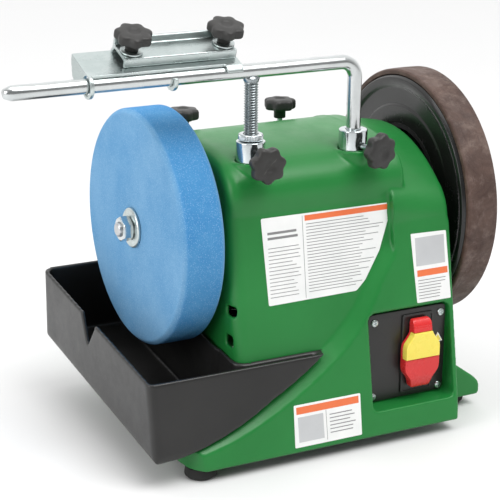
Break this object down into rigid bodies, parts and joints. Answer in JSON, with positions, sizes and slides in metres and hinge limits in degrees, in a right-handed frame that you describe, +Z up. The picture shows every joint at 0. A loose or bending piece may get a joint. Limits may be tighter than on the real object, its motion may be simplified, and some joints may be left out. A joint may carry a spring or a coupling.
{
  "type": "wet grinding sharpener",
  "caption": "Bench wet sharpener: blue grindstone over a black water tray, leather honing wheel, green housing, tool support bar and clamping jig.",
  "frame": {"origin": "centre of the bounding box at table level", "axes": "+X along the spindle from the grindstone to the leather wheel, -Y towards the operator (switch side), +Z up"},
  "size_m": [0.438, 0.259, 0.3671],
  "materials": {
    "green_plastic": "satin moulded green",
    "black_plastic": "satin black",
    "knob_plastic": "fine-textured dark grey",
    "rubber": "matt black",
    "grindstone": "fine porous blue abrasive",
    "leather": "worn brown hide",
    "red_plastic": "satin red",
    "yellow_plastic": "satin yellow",
    "zinc": "bright zinc plate",
    "steel": "turned steel",
    "bronze": "sintered bronze",
    "aluminium": "cast aluminium"
  },
  "bodies": {
    "body": {"housing": "green_plastic", "bottom_plate": "zinc", "foot_front_left": "rubber", "foot_rear_left": "rubber", "foot_front_right": "rubber", "foot_rear_right": "rubber", "collar_left": "zinc", "collar_right": "zinc", "rear_sleeve_left": "zinc", "rear_sleeve_right": "zinc", "bushing_left": "bronze", "bushing_right": "bronze", "motor_can": "aluminium", "motor_bracket": "zinc", "start_capacitor": "aluminium", "switch_plate": "black_plastic", "plate_screw_1": "zinc", "plate_screw_2": "zinc", "plate_screw_3": "zinc", "plate_screw_4": "zinc", "switch_body": "black_plastic", "cord_gland": "black_plastic"},
    "spindle": {"spindle_shaft": "steel", "grindstone": "grindstone", "stone_washer": "zinc", "stone_flange": "steel", "stone_nut": "zinc", "leather_tyre": "leather", "drive_drum": "black_plastic", "drive_ring": "rubber", "hub_washer": "zinc", "hub_nut": "zinc"},
    "rotor": {"rotor_shaft": "steel", "drive_roller": "steel"},
    "support": {"support_bar": "zinc", "threaded_leg": "zinc"},
    "adjust_nut": {"adjust_nut": "zinc"},
    "jig": {"jig_plate": "zinc", "jig_stud_left": "zinc", "jig_stud_right": "zinc"},
    "jig_clamp": {"jig_clamp": "zinc", "jig_washer_left": "zinc", "jig_washer_right": "zinc"},
    "jig_knob_left": {"jig_knob_left": "knob_plastic"},
    "jig_knob_right": {"jig_knob_right": "knob_plastic"},
    "front_left_lock": {"front_left_knob": "knob_plastic", "front_left_stud": "zinc"},
    "front_right_lock": {"front_right_knob": "knob_plastic", "front_right_stud": "zinc"},
    "rear_left_lock": {"rear_left_knob": "knob_plastic", "rear_left_stud": "zinc"},
    "rear_right_lock": {"rear_right_knob": "knob_plastic", "rear_right_stud": "zinc"},
    "switch_paddle": {"switch_paddle": "red_plastic"},
    "safety_key": {"safety_key": "yellow_plastic"},
    "water_tray": {"water_tray": "black_plastic"}
  },
  "joints": [
    {"name": "spindle_spin", "type": "hinge", "parent": "body", "child": "spindle", "pos_m": [-0.085, 0.00307, 0.182], "axis": [1, 0, 0], "continuous": true},
    {"name": "rotor_spin", "type": "hinge", "parent": "body", "child": "rotor", "pos_m": [-0.085, 0.00307, 0.12875], "axis": [1, 0, 0], "continuous": true},
    {"name": "support_lift", "type": "slide", "parent": "body", "child": "support", "axis": [0, 0, 1], "range_m": [0, 0.044]},
    {"name": "adjust_nut_turn", "type": "hinge", "parent": "support", "child": "adjust_nut", "pos_m": [-0.012, -0.06893, 0.269], "axis": [0, 0, 1], "continuous": true},
    {"name": "jig_slide", "type": "slide", "parent": "support", "child": "jig", "axis": [1, 0, 0], "range_m": [-0.055, 0.003]},
    {"name": "clamp_lift", "type": "slide", "parent": "jig", "child": "jig_clamp", "axis": [0, -0.3523, 0.9359], "range_m": [0, 0.004]},
    {"name": "jig_knob_left_turn", "type": "hinge", "parent": "jig_clamp", "child": "jig_knob_left", "pos_m": [-0.1115, -0.06276, 0.35103], "axis": [0, -0.3523, 0.9359], "continuous": true},
    {"name": "jig_knob_right_turn", "type": "hinge", "parent": "jig_clamp", "child": "jig_knob_right", "pos_m": [-0.0325, -0.06276, 0.35103], "axis": [0, -0.3523, 0.9359], "continuous": true},
    {"name": "front_left_lock_turn", "type": "hinge", "parent": "body", "child": "front_left_lock", "pos_m": [-0.01368, -0.09688, 0.252], "axis": [-0.06, -0.9982, 0], "continuous": true},
    {"name": "front_right_lock_turn", "type": "hinge", "parent": "body", "child": "front_right_lock", "pos_m": [0.08956, -0.09637, 0.252], "axis": [0.1987, -0.9801, 0], "continuous": true},
    {"name": "rear_left_lock_turn", "type": "hinge", "parent": "body", "child": "rear_left_lock", "pos_m": [-0.012, 0.05907, 0.256], "axis": [0, 0, 1], "continuous": true},
    {"name": "rear_right_lock_turn", "type": "hinge", "parent": "body", "child": "rear_right_lock", "pos_m": [0.084, 0.05907, 0.256], "axis": [0, 0, 1], "continuous": true},
    {"name": "paddle_flip", "type": "hinge", "parent": "body", "child": "switch_paddle", "pos_m": [0.13, -0.10853, 0.105], "axis": [-1, 0, 0], "range_deg": [0, 20]},
    {"name": "key_pull", "type": "slide", "parent": "switch_paddle", "child": "safety_key", "axis": [0, -1, 0], "range_m": [0, 0.025]},
    {"name": "tray_lift", "type": "slide", "parent": "body", "child": "water_tray", "axis": [0, 0, 1], "range_m": [0, 0.03]}
  ],
  "couplings": [
    {"joint": "rotor_spin", "follows": "spindle_spin", "ratio": 13.034}
  ]
}
